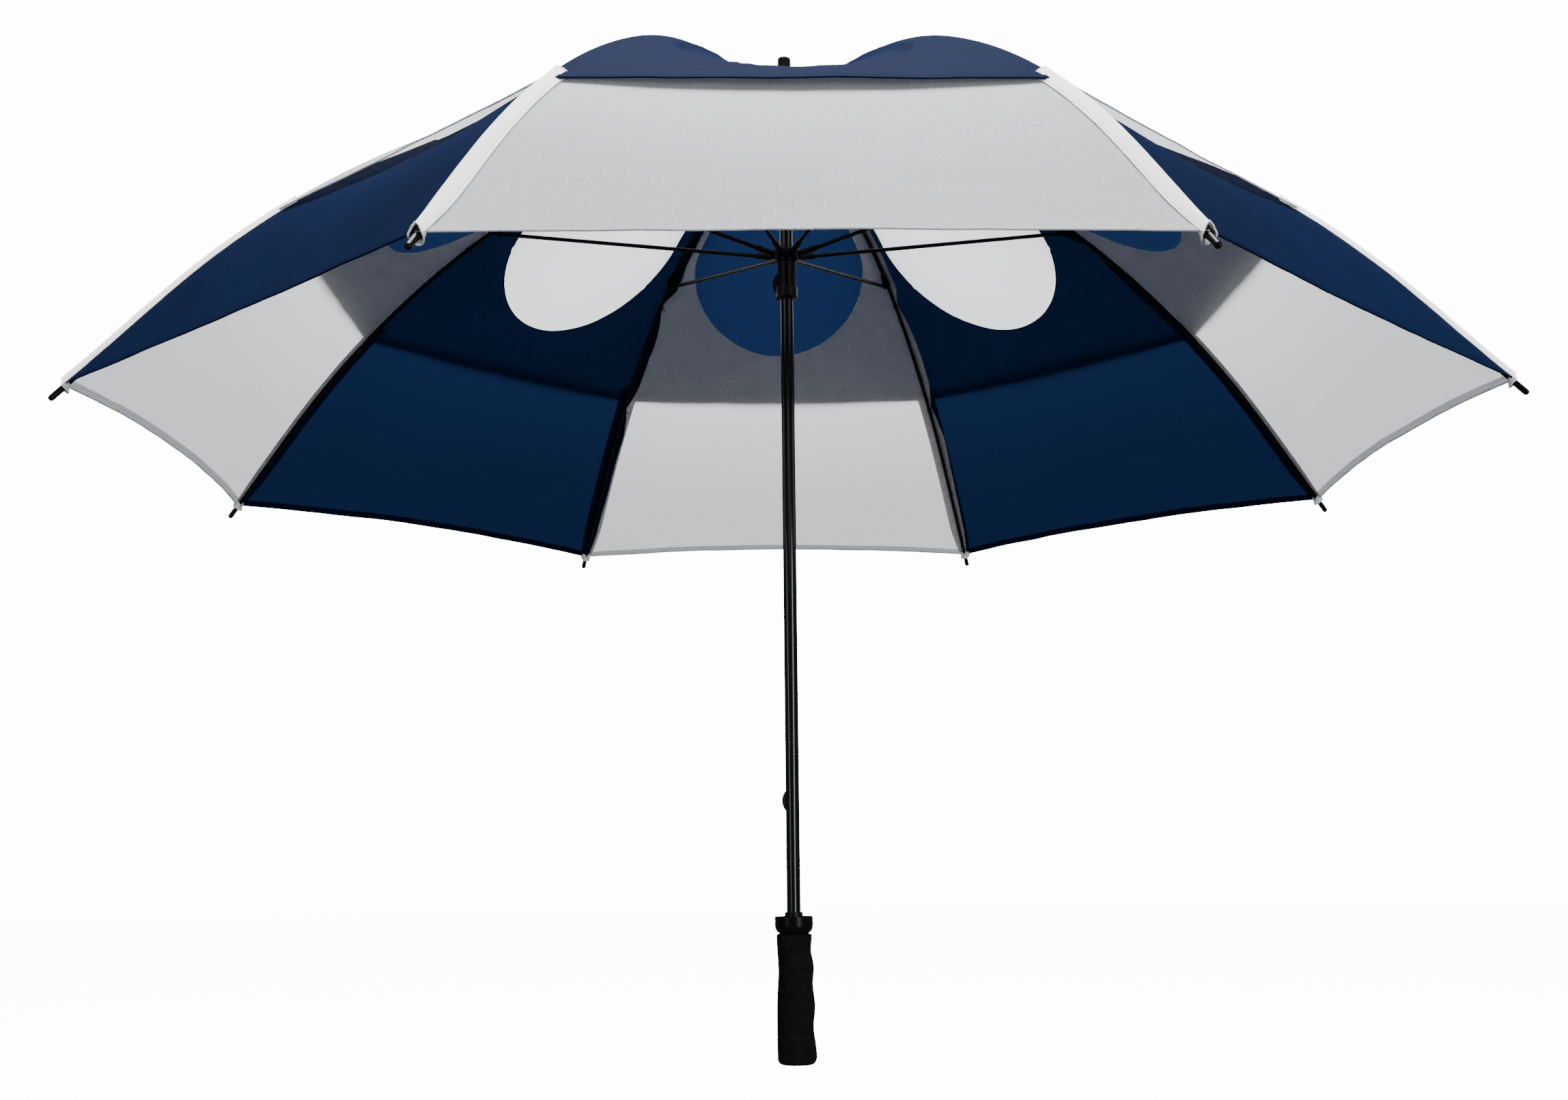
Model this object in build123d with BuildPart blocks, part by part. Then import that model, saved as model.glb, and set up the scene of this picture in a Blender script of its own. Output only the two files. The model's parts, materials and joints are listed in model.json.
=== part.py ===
from build123d import *

import os
from math import acos, asin, cos, degrees, hypot, radians, sin

# Golf umbrella with a vented double canopy of eight gores, open.
# The origin is the centre of the handle's lower end and +Z runs up the shaft. Lengths are in millimetres.
# Rib 1 stands at FIRST_RIB_ANGLE and the others follow anticlockwise; gore k lies between ribs k and k + 1.

RIB_COUNT = 8
RIB_PITCH = 360 / RIB_COUNT
FIRST_RIB_ANGLE = RIB_PITCH / 2

# Shaft: one steel tube from the handle to the ferrule.
SHAFT_DIAMETER = 13.0
SHAFT_WALL = 1.0
SHAFT_BOTTOM = 6.0
SHAFT_ABOVE_CROWN = 24.0

# Rib line, seen in the radial plane: a straight root, a bend to the stretcher joint, a bend past it and a
# straight end. Angles are below horizontal.
CROWN_HEIGHT = 929.0
PIVOT_FROM_SHAFT = 8.0
CROWN_PIVOT_RADIUS = SHAFT_DIAMETER / 2 + PIVOT_FROM_SHAFT
ROOT_ANGLE = 3.0
ROOT_STRAIGHT = 102.0
INNER_BEND_RADIUS = 541.0
JOINT_ANGLE = 27.5
OUTER_BEND_RADIUS = 872.0
TIP_ANGLE = 48.2
TIP_STRAIGHT = 133.0

# Rib pieces
INNER_ROD_DIAMETER = 4.6
OUTER_ROD_DIAMETER = 3.8
EYE_RADIUS = 2.4
EYE_TAB_LENGTH = 10.0
EYE_TAB_THICKNESS = 1.6
BRACKET_BACK = 13.0
BRACKET_RADIUS = 3.6
BRACKET_PLATE = 1.5
KNUCKLE_RADIUS = 2.6
KNUCKLE_THICKNESS = 2.4
PIN_RADIUS = 0.9
TIP_LENGTH = 20.0
TIP_WALL = 0.8
TIP_DIAMETER = OUTER_ROD_DIAMETER + 2 * TIP_WALL
TIP_COLLAR_DIAMETER = TIP_DIAMETER + 1.4
TIP_COLLAR_LENGTH = 3.0
TIP_BORE_DEPTH = 12.0

# Stretchers
JOINT_DROP = 5.5
STRETCHER_DIAMETER = 4.0
STRETCHER_EYE_RADIUS = 2.3
STRETCHER_TAB_LENGTH = 8.0
SOCKET_DIAMETER = 6.0
SOCKET_LENGTH = 16.5
SOCKET_TAPER = 3.5

# Crown
NOTCH_RIM = 2.5
NOTCH_RADIUS = CROWN_PIVOT_RADIUS + NOTCH_RIM
NOTCH_ABOVE = 3.6
NOTCH_BELOW = 5.0
NOTCH_SKIRT_WALL = 3.5
NOTCH_SKIRT_LENGTH = 9.0
WIRE_DIAMETER = 1.2
WIRE_GROOVE = 1.6

# Ferrule: a flanged cap over the shaft's end, with a parallel, flat-ended spike
FERRULE_FLANGE_THICKNESS = 2.5
FERRULE_WALL = 1.3
FERRULE_BODY_LENGTH = 24.0
FERRULE_TAPER_LENGTH = 10.0
FERRULE_SPIKE_RADIUS = 6.6
FERRULE_EDGE_RADIUS = 1.4
FERRULE_ABOVE_CROWN = 71.0

# Runner
RUNNER_SLEEVE_RADIUS = SHAFT_DIAMETER / 2 + 2.0
RUNNER_COLLAR_RADIUS = RUNNER_SLEEVE_RADIUS + 2.5
RUNNER_COLLAR_LENGTH = 12.0
RUNNER_HUB_RADIUS = RUNNER_SLEEVE_RADIUS + 2.0
RUNNER_HUB_HALF_HEIGHT = 7.3
RUNNER_LENGTH = 46.0
RUNNER_SLOT_WIDTH = 3.8
RUNNER_FLUTE_COUNT = 16
RUNNER_FLUTE_WIDTH = 1.3
RUNNER_FLUTE_HEIGHT = 0.6
CLOSED_LEAN = 4.5

# Catches: sprung fins that stand out of slots in the shaft, on the -X side
CATCH_WIDTH = 3.0
CATCH_LIP = 2.0
CATCH_LIP_DEPTH = 1.0
UPPER_CATCH_LENGTH = 28.0
UPPER_CATCH_PROUD = 7.6
LOWER_CATCH_LENGTH = 18.5
LOWER_CATCH_PROUD = 3.5
CATCH_ABOVE_RUNNER_BOTTOM = 15.0
SPRING_THICKNESS = 0.4
SPRING_SLENDERNESS = 1.65

# Handle
GRIP_LENGTH = 119.0
GRIP_RADIUS = 17.3
GRIP_FLOOR = 3.0
GRIP_EDGE = 3.0
GROOVE_DEPTH = 2.0
GROOVE_RADIUS = 22.0
GROOVE_HEIGHTS = (33.0, 71.0, 103.0)
CORE_WALL = 2.0
CUP_BOSS_RADIUS = SHAFT_DIAMETER / 2 + 2.1
CUP_RECESS_WIDTH = 7.6
CUP_WALL = 1.8
CUP_RADIUS = CUP_BOSS_RADIUS + CUP_RECESS_WIDTH + CUP_WALL
CUP_NECK_RADIUS = CUP_RADIUS - 5.0
CUP_HEIGHT = 16.0
CUP_FLOOR = 5.0
COLLAR_WALL = 2.0
COLLAR_HEIGHT = 4.0

# Canopy
FABRIC_THICKNESS = 0.4
LOWER_FABRIC_OFFSET = 4.6
UPPER_FABRIC_OFFSET = 5.6
CORNER_BEFORE_RIB_END = 8.91
UPPER_HEM_PAST_JOINT = 162.0
HEM_SCOOP = 10.0
FABRIC_INNER_RADIUS = NOTCH_RADIUS + 2.0
UPPER_FABRIC_INNER_RADIUS = SHAFT_DIAMETER / 2 + 3.5
VENT_TOP_RADIUS = 100.0
VENT_TOP_WIDTH = 60.0
VENT_BOTTOM_RADIUS = 300.0
VENT_BOTTOM_WIDTH = 200.0

# Clearances
BORE_CLEARANCE = 0.15
PIN_CLEARANCE = 0.1
SIDE_CLEARANCE = 0.3
SEAM_GAP = 0.25

# The rib's stations follow from the values above: each is (radius, height, angle below horizontal).


def bend_end(start, radius, angle):
    """Where a bend of that radius ends when it has turned down to that angle."""
    r, z, before = start
    across = sin(radians(angle)) - sin(radians(before))
    down = cos(radians(before)) - cos(radians(angle))
    return (r + radius * across, z - radius * down, angle)


def straight_end(start, length):
    """Where a straight run of that length ends."""
    r, z, angle = start
    return (r + length * cos(radians(angle)), z - length * sin(radians(angle)), angle)


def beside(station, offset):
    """The point at that distance outwards from the rib line."""
    r, z, angle = station
    return (r + offset * sin(radians(angle)), z + offset * cos(radians(angle)))


CROWN = (CROWN_PIVOT_RADIUS, CROWN_HEIGHT, ROOT_ANGLE)
ROOT_END = straight_end(CROWN, ROOT_STRAIGHT)
INNER_MIDDLE = bend_end(ROOT_END, INNER_BEND_RADIUS, (ROOT_ANGLE + JOINT_ANGLE) / 2)
JOINT = bend_end(ROOT_END, INNER_BEND_RADIUS, JOINT_ANGLE)
OUTER_MIDDLE = bend_end(JOINT, OUTER_BEND_RADIUS, (JOINT_ANGLE + TIP_ANGLE) / 2)
BEND_END = bend_end(JOINT, OUTER_BEND_RADIUS, TIP_ANGLE)
TIP_END = straight_end(BEND_END, TIP_STRAIGHT)
TIP_BASE = straight_end(BEND_END, TIP_STRAIGHT - TIP_LENGTH)
CANOPY_RADIUS = TIP_END[0] - CORNER_BEFORE_RIB_END
UPPER_CANOPY_RADIUS = JOINT[0] + UPPER_HEM_PAST_JOINT

# Link geometry: the rib's chord and the stretcher are equally long, so the runner's pivot is as far below
# the stretcher joint as the crown's is above it, and the two fold flat together.
STRETCHER_JOINT = beside(JOINT, -JOINT_DROP)
LINK_LENGTH = hypot(STRETCHER_JOINT[0] - CROWN_PIVOT_RADIUS, CROWN_HEIGHT - STRETCHER_JOINT[1])
RUNNER_PIVOT_HEIGHT = 2 * STRETCHER_JOINT[1] - CROWN_HEIGHT
OPEN_CHORD_ANGLE = degrees(asin((CROWN_HEIGHT - STRETCHER_JOINT[1]) / LINK_LENGTH))
RUNNER_TRAVEL = 2 * LINK_LENGTH * cos(radians(CLOSED_LEAN)) - (CROWN_HEIGHT - RUNNER_PIVOT_HEIGHT)
FOLD_ANGLE = 90 - CLOSED_LEAN - OPEN_CHORD_ANGLE

RUNNER_TOP = RUNNER_PIVOT_HEIGHT + RUNNER_HUB_HALF_HEIGHT
RUNNER_BOTTOM = RUNNER_TOP - RUNNER_LENGTH - RUNNER_HUB_HALF_HEIGHT
UPPER_CATCH_HEIGHT = RUNNER_BOTTOM + CATCH_ABOVE_RUNNER_BOTTOM
LOWER_CATCH_HEIGHT = UPPER_CATCH_HEIGHT - RUNNER_TRAVEL

SHAFT_RADIUS = SHAFT_DIAMETER / 2
SHAFT_BORE = SHAFT_RADIUS - SHAFT_WALL
SHAFT_TOP = CROWN_HEIGHT + SHAFT_ABOVE_CROWN
FERRULE_BOTTOM = CROWN_HEIGHT + UPPER_FABRIC_OFFSET + FABRIC_THICKNESS + SIDE_CLEARANCE
FERRULE_TOP = CROWN_HEIGHT + FERRULE_ABOVE_CROWN

# The outer rib straightens as the umbrella closes, until its tip lies beside the tip cup.
CLOSED_JOINT_RADIUS = CROWN_PIVOT_RADIUS + LINK_LENGTH * sin(radians(CLOSED_LEAN))
CLOSED_TIP_RADIUS = CUP_RADIUS + TIP_COLLAR_DIAMETER
OUTER_CHORD = hypot(TIP_END[0] - JOINT[0], JOINT[1] - TIP_END[1])
OUTER_CHORD_ANGLE = degrees(acos((TIP_END[0] - JOINT[0]) / OUTER_CHORD))
CLOSED_INWARD = degrees(asin((CLOSED_JOINT_RADIUS - CLOSED_TIP_RADIUS) / OUTER_CHORD))
FLEX_ANGLE = OUTER_CHORD_ANGLE + FOLD_ANGLE - 90 - CLOSED_INWARD

os.makedirs("parts", exist_ok=True)


def rib_angle(number):
    return FIRST_RIB_ANGLE + (number - 1) * RIB_PITCH


def radial_plane(angle):
    """The upright plane through the shaft at that angle: local x is the radius, local y the height."""
    across = (sin(radians(angle)), -cos(radians(angle)), 0)
    return Plane(origin=(0, 0, 0), x_dir=(cos(radians(angle)), sin(radians(angle)), 0), z_dir=across)


def station_plane(angle, point, slope):
    """The radial plane's own copy at a point of it, with local x running down the slope."""
    radial = radial_plane(angle)
    ahead = radial.x_dir * cos(radians(slope)) - Vector(0, 0, 1) * sin(radians(slope))
    return Plane(origin=radial.from_local_coords((point[0], point[1], 0)), x_dir=ahead, z_dir=radial.z_dir)


def save(part, name):
    part.label = name
    export_step(part, f"parts/{name}.step")


def make_rib_inner(angle):
    """Rod from the crown eye to the joint bracket, whose two plates carry the pins of both joints."""
    rod_start = straight_end(CROWN, EYE_TAB_LENGTH - EYE_RADIUS)
    rod_end_gap = KNUCKLE_RADIUS + 2 * SIDE_CLEARANCE
    rod_end = bend_end(JOINT, INNER_BEND_RADIUS, JOINT_ANGLE - degrees(rod_end_gap / INNER_BEND_RADIUS))
    half_slot = KNUCKLE_THICKNESS / 2 + SIDE_CLEARANCE
    with BuildPart() as rib:
        with BuildLine(radial_plane(angle)) as path:
            Line(rod_start[:2], ROOT_END[:2])
            ThreePointArc(ROOT_END[:2], INNER_MIDDLE[:2], rod_end[:2])
        with BuildSketch(Plane(origin=path.line @ 0, z_dir=path.line % 0)):
            Circle(INNER_ROD_DIAMETER / 2)
        sweep(path=path.line)
        with BuildSketch(station_plane(angle, CROWN[:2], ROOT_ANGLE)):
            Circle(EYE_RADIUS)
            Rectangle(EYE_TAB_LENGTH, 2 * EYE_RADIUS, align=(Align.MIN, Align.CENTER))
            Circle(WIRE_DIAMETER / 2 + PIN_CLEARANCE, mode=Mode.SUBTRACT)
        extrude(amount=EYE_TAB_THICKNESS / 2, both=True)
        joint_plane = station_plane(angle, JOINT[:2], JOINT_ANGLE)
        with BuildSketch(joint_plane):
            with BuildLine():
                CenterArc((0, 0), BRACKET_RADIUS, 0, 360)
                CenterArc((0, -JOINT_DROP), STRETCHER_EYE_RADIUS + SIDE_CLEARANCE, 0, 360)
                CenterArc((-BRACKET_BACK, 0), INNER_ROD_DIAMETER / 2 + SIDE_CLEARANCE, 0, 360)
            make_hull()
        extrude(amount=half_slot + BRACKET_PLATE, both=True)
        with BuildSketch(joint_plane):
            with Locations((-rod_end_gap, 0)):
                Rectangle(4 * BRACKET_RADIUS, 8 * BRACKET_RADIUS, align=(Align.MIN, Align.CENTER))
            with Locations((0, -INNER_ROD_DIAMETER / 2)):
                Rectangle(4 * BRACKET_BACK, 4 * BRACKET_RADIUS, align=(Align.CENTER, Align.MAX))
        extrude(amount=half_slot, both=True, mode=Mode.SUBTRACT)
        with BuildSketch(joint_plane):
            with Locations((0, 0), (0, -JOINT_DROP)):
                Circle(PIN_RADIUS)
        extrude(amount=half_slot + BRACKET_PLATE, both=True)
    return rib.part


def make_rib_outer(angle):
    """Rod from its knuckle at the joint to the middle of the tip's bore."""
    rod_start_angle = JOINT_ANGLE + degrees((KNUCKLE_RADIUS + 2 * SIDE_CLEARANCE) / OUTER_BEND_RADIUS)
    rod_start = bend_end(JOINT, OUTER_BEND_RADIUS, rod_start_angle)
    rod_end = straight_end(TIP_BASE, TIP_BORE_DEPTH - SIDE_CLEARANCE)
    tab_length = BRACKET_RADIUS + 3 * SIDE_CLEARANCE
    with BuildPart() as rib:
        with BuildLine(radial_plane(angle)) as path:
            ThreePointArc(rod_start[:2], OUTER_MIDDLE[:2], BEND_END[:2])
            Line(BEND_END[:2], rod_end[:2])
        with BuildSketch(Plane(origin=path.line @ 0, z_dir=path.line % 0)):
            Circle(OUTER_ROD_DIAMETER / 2)
        sweep(path=path.line)
        joint_plane = station_plane(angle, JOINT[:2], JOINT_ANGLE)
        with BuildSketch(joint_plane):
            Circle(tab_length)
        extrude(amount=OUTER_ROD_DIAMETER, both=True, mode=Mode.SUBTRACT)
        with BuildSketch(joint_plane):
            Circle(KNUCKLE_RADIUS)
            Rectangle(tab_length + KNUCKLE_RADIUS, OUTER_ROD_DIAMETER, align=(Align.MIN, Align.CENTER))
            Circle(PIN_RADIUS + PIN_CLEARANCE, mode=Mode.SUBTRACT)
        extrude(amount=KNUCKLE_THICKNESS / 2, both=True)
    return rib.part


def make_rib_tip(angle):
    """Round-ended cap on the rib's end, with a collar at its mouth that the canopy's corner ties behind."""
    bore = OUTER_ROD_DIAMETER / 2 + PIN_CLEARANCE / 2
    with BuildPart() as tip:
        with BuildSketch(station_plane(angle, TIP_BASE[:2], TIP_ANGLE)):
            Rectangle(TIP_LENGTH - TIP_DIAMETER / 2, TIP_DIAMETER / 2, align=(Align.MIN, Align.MIN))
            Rectangle(TIP_COLLAR_LENGTH, TIP_COLLAR_DIAMETER / 2, align=(Align.MIN, Align.MIN))
            with Locations((TIP_LENGTH - TIP_DIAMETER / 2, 0)):
                Circle(TIP_DIAMETER / 2)
            Rectangle(2 * TIP_LENGTH, TIP_DIAMETER, align=(Align.MIN, Align.MAX), mode=Mode.SUBTRACT)
            Rectangle(TIP_BORE_DEPTH, bore, align=(Align.MIN, Align.MIN), mode=Mode.SUBTRACT)
        axis = station_plane(angle, TIP_BASE[:2], TIP_ANGLE)
        revolve(axis=Axis(axis.origin, axis.x_dir))
    return tip.part


def make_stretcher(angle):
    """Rod from its eye on the rib's bracket to a thick round-ended socket beside the runner's hub."""
    plane = station_plane(angle, STRETCHER_JOINT, 180 - OPEN_CHORD_ANGLE)
    eye_gap = BRACKET_RADIUS + 2 * SIDE_CLEARANCE
    with BuildPart() as stretcher:
        with BuildSketch(plane):
            with BuildLine():
                Polyline(
                    (STRETCHER_TAB_LENGTH - SIDE_CLEARANCE, 0),
                    (STRETCHER_TAB_LENGTH - SIDE_CLEARANCE, STRETCHER_DIAMETER / 2),
                    (LINK_LENGTH - SOCKET_LENGTH - SOCKET_TAPER, STRETCHER_DIAMETER / 2),
                    (LINK_LENGTH - SOCKET_LENGTH, SOCKET_DIAMETER / 2),
                    (LINK_LENGTH, SOCKET_DIAMETER / 2),
                )
                RadiusArc((LINK_LENGTH, SOCKET_DIAMETER / 2), (LINK_LENGTH + SOCKET_DIAMETER / 2, 0),
                          SOCKET_DIAMETER / 2)
                Line((LINK_LENGTH + SOCKET_DIAMETER / 2, 0), (STRETCHER_TAB_LENGTH - SIDE_CLEARANCE, 0))
            make_face()
        revolve(axis=Axis(plane.origin, plane.x_dir))
        with BuildSketch(plane):
            Circle(STRETCHER_EYE_RADIUS)
            Rectangle(STRETCHER_TAB_LENGTH + eye_gap, STRETCHER_DIAMETER, align=(Align.MIN, Align.CENTER))
            Circle(PIN_RADIUS + PIN_CLEARANCE, mode=Mode.SUBTRACT)
        extrude(amount=KNUCKLE_THICKNESS / 2, both=True)
    return stretcher.part


def make_panel(angle, offset, inner_radius, outer_radius, vented):
    """One gore of canopy cloth: a sheet that is straight across, from rib to rib, and bent as the ribs are."""
    half_gore = radians(RIB_PITCH / 2)
    across = cos(half_gore)

    def sheet_points(distance):
        stations = (CROWN, ROOT_END, INNER_MIDDLE, JOINT, OUTER_MIDDLE, BEND_END, TIP_END)
        return [(r * across, z) for r, z in (beside(station, distance) for station in stations)]

    inside = sheet_points(offset)
    outside = sheet_points(offset + FABRIC_THICKNESS)
    gap = SEAM_GAP / cos(half_gore)
    inner_half = inner_radius * sin(half_gore) - gap
    outer_half = outer_radius * sin(half_gore) - gap
    hem_middle = outer_radius * across - HEM_SCOOP
    vent_centres = ((VENT_TOP_RADIUS, VENT_TOP_WIDTH), (VENT_BOTTOM_RADIUS, VENT_BOTTOM_WIDTH))
    with BuildPart() as panel:
        with BuildSketch(radial_plane(angle)):
            with BuildLine():
                for near, bent, far, past, end in ((inside[0], inside[1:4], inside[4], inside[5], inside[6]),
                                                   (outside[0], outside[1:4], outside[4], outside[5],
                                                    outside[6])):
                    Line(near, bent[0])
                    ThreePointArc(*bent)
                    ThreePointArc(bent[2], far, past)
                    Line(past, end)
                Line(inside[0], outside[0])
                Line(inside[6], outside[6])
            make_face()
        extrude(amount=outer_radius, both=True)
        with BuildSketch(Plane(origin=(0, 0, 0), x_dir=radial_plane(angle).x_dir, z_dir=(0, 0, 1))):
            with BuildLine():
                Polyline(
                    (outer_radius * across, outer_half),
                    (inner_radius * across, inner_half),
                    (inner_radius * across, -inner_half),
                    (outer_radius * across, -outer_half),
                )
                ThreePointArc((outer_radius * across, -outer_half), (hem_middle, 0),
                              (outer_radius * across, outer_half))
            make_face()
            if vented:
                with BuildSketch(mode=Mode.SUBTRACT):
                    with BuildLine():
                        for radius, width in vent_centres:
                            CenterArc((radius, 0), width / 2, 0, 360)
                    make_hull()
        extrude(amount=FERRULE_TOP, mode=Mode.INTERSECT)
    return panel.part


for number in range(1, RIB_COUNT + 1):
    save(make_rib_inner(rib_angle(number)), f"rib_inner_{number}")
    save(make_rib_outer(rib_angle(number)), f"rib_outer_{number}")
    save(make_rib_tip(rib_angle(number)), f"rib_tip_{number}")
    save(make_stretcher(rib_angle(number)), f"stretcher_{number}")
    gore_angle = rib_angle(number) + RIB_PITCH / 2
    save(make_panel(gore_angle, LOWER_FABRIC_OFFSET, FABRIC_INNER_RADIUS, CANOPY_RADIUS, True),
         f"lower_panel_{number}")
    save(make_panel(gore_angle, UPPER_FABRIC_OFFSET, UPPER_FABRIC_INNER_RADIUS, UPPER_CANOPY_RADIUS, False),
         f"upper_panel_{number}")

# Shaft tube, with a slot for each catch on its -X side
CATCHES = (
    (UPPER_CATCH_HEIGHT, UPPER_CATCH_LENGTH, UPPER_CATCH_PROUD, "upper_catch"),
    (LOWER_CATCH_HEIGHT, LOWER_CATCH_LENGTH, LOWER_CATCH_PROUD, "lower_catch"),
)
with BuildPart() as shaft_tube:
    with BuildSketch(Plane.XY.offset(SHAFT_BOTTOM)):
        Circle(SHAFT_RADIUS)
        Circle(SHAFT_BORE, mode=Mode.SUBTRACT)
    extrude(amount=SHAFT_TOP - SHAFT_BOTTOM)
    with BuildSketch(Plane.YZ):
        for height, length, _, _ in CATCHES:
            with Locations((0, height)):
                Rectangle(CATCH_WIDTH + 2 * SIDE_CLEARANCE, length + 2 * SIDE_CLEARANCE)
    extrude(amount=-2 * SHAFT_RADIUS, mode=Mode.SUBTRACT)
save(shaft_tube.part, "shaft_tube")

# Catches: a half-moon fin with a lip at each end that stays behind the tube's wall
for height, length, proud, name in CATCHES:
    with BuildPart() as catch:
        with BuildSketch(Plane.XZ.offset(-CATCH_WIDTH / 2)):
            with BuildLine():
                ThreePointArc((-SHAFT_RADIUS, height - length / 2), (-SHAFT_RADIUS - proud, height),
                              (-SHAFT_RADIUS, height + length / 2))
                Polyline(
                    (-SHAFT_RADIUS, height + length / 2),
                    (-SHAFT_BORE + SIDE_CLEARANCE + CATCH_LIP_DEPTH, height + length / 2),
                    (-SHAFT_BORE + SIDE_CLEARANCE + CATCH_LIP_DEPTH, height - length / 2),
                    (-SHAFT_RADIUS, height - length / 2),
                )
            make_face()
            with Locations((-SHAFT_BORE + SIDE_CLEARANCE + CATCH_LIP_DEPTH, height)):
                Rectangle(CATCH_LIP_DEPTH, length + 2 * CATCH_LIP, align=(Align.MAX, Align.CENTER))
        extrude(amount=CATCH_WIDTH)
    save(catch.part, name)

# Catch springs: two bowed leaves inside the tube, each pressing its catch outwards
with BuildPart() as catch_springs:
    for height, length, _, _ in CATCHES:
        catch_back = -SHAFT_BORE + SIDE_CLEARANCE + CATCH_LIP_DEPTH + SIDE_CLEARANCE
        tube_wall = SHAFT_BORE - 2 * SPRING_THICKNESS
        half_leaf = max(length / 2, SPRING_SLENDERNESS * SHAFT_BORE)
        with BuildSketch(Plane.XZ.offset(-CATCH_WIDTH / 2)):
            with BuildLine():
                ThreePointArc((tube_wall, height - half_leaf), (catch_back + SPRING_THICKNESS, height),
                              (tube_wall, height + half_leaf))
                Line((tube_wall, height + half_leaf), (tube_wall - SPRING_THICKNESS, height + half_leaf))
                ThreePointArc((tube_wall - SPRING_THICKNESS, height + half_leaf), (catch_back, height),
                              (tube_wall - SPRING_THICKNESS, height - half_leaf))
                Line((tube_wall - SPRING_THICKNESS, height - half_leaf), (tube_wall, height - half_leaf))
            make_face()
        extrude(amount=CATCH_WIDTH)
save(catch_springs.part, "catch_springs")

# Top notch: a slotted crown on the shaft, with a groove round it for the wire that threads the rib eyes
with BuildPart() as top_notch:
    with BuildSketch(Plane.XZ):
        with Locations((SHAFT_RADIUS, CROWN_HEIGHT - NOTCH_BELOW)):
            Rectangle(NOTCH_RADIUS - SHAFT_RADIUS, NOTCH_ABOVE + NOTCH_BELOW, align=(Align.MIN, Align.MIN))
        with Locations((SHAFT_RADIUS, CROWN_HEIGHT - NOTCH_BELOW)):
            Rectangle(NOTCH_SKIRT_WALL, NOTCH_SKIRT_LENGTH, align=(Align.MIN, Align.MAX))
        with Locations((CROWN_PIVOT_RADIUS - WIRE_GROOVE / 2, CROWN_HEIGHT)):
            Rectangle(NOTCH_RADIUS, WIRE_GROOVE, align=(Align.MIN, Align.CENTER), mode=Mode.SUBTRACT)
    revolve(axis=Axis.Z)
    for number in range(1, RIB_COUNT + 1):
        slot_inner = CROWN_PIVOT_RADIUS - EYE_RADIUS - SIDE_CLEARANCE
        with BuildSketch(radial_plane(rib_angle(number))):
            with Locations((slot_inner, CROWN_HEIGHT)):
                Rectangle(NOTCH_RADIUS, 4 * NOTCH_BELOW, align=(Align.MIN, Align.CENTER))
        extrude(amount=EYE_TAB_THICKNESS / 2 + SIDE_CLEARANCE, both=True, mode=Mode.SUBTRACT)
save(top_notch.part, "top_notch")

# Notch wire: the ring that is every rib's pivot
with BuildPart() as notch_wire:
    with BuildSketch(Plane.XZ):
        with Locations((CROWN_PIVOT_RADIUS, CROWN_HEIGHT)):
            Circle(WIRE_DIAMETER / 2)
    revolve(axis=Axis.Z)
save(notch_wire.part, "notch_wire")

# Ferrule
with BuildPart() as ferrule:
    body_top = FERRULE_BOTTOM + FERRULE_BODY_LENGTH
    spike_bottom = body_top + FERRULE_TAPER_LENGTH
    with BuildSketch(Plane.XZ):
        with BuildLine():
            Polyline(
                (SHAFT_RADIUS, FERRULE_BOTTOM),
                (NOTCH_RADIUS, FERRULE_BOTTOM),
                (NOTCH_RADIUS, FERRULE_BOTTOM + FERRULE_FLANGE_THICKNESS / 2),
                (SHAFT_RADIUS + FERRULE_WALL, FERRULE_BOTTOM + 2 * FERRULE_FLANGE_THICKNESS),
                (SHAFT_RADIUS + FERRULE_WALL, body_top),
                (FERRULE_SPIKE_RADIUS, spike_bottom),
                (FERRULE_SPIKE_RADIUS, FERRULE_TOP - FERRULE_EDGE_RADIUS),
            )
            RadiusArc((FERRULE_SPIKE_RADIUS, FERRULE_TOP - FERRULE_EDGE_RADIUS),
                      (FERRULE_SPIKE_RADIUS - FERRULE_EDGE_RADIUS, FERRULE_TOP), -FERRULE_EDGE_RADIUS)
            Polyline(
                (FERRULE_SPIKE_RADIUS - FERRULE_EDGE_RADIUS, FERRULE_TOP),
                (0, FERRULE_TOP),
                (0, SHAFT_TOP),
                (SHAFT_RADIUS, SHAFT_TOP),
                (SHAFT_RADIUS, FERRULE_BOTTOM),
            )
        make_face()
    revolve(axis=Axis.Z)
save(ferrule.part, "ferrule")

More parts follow.
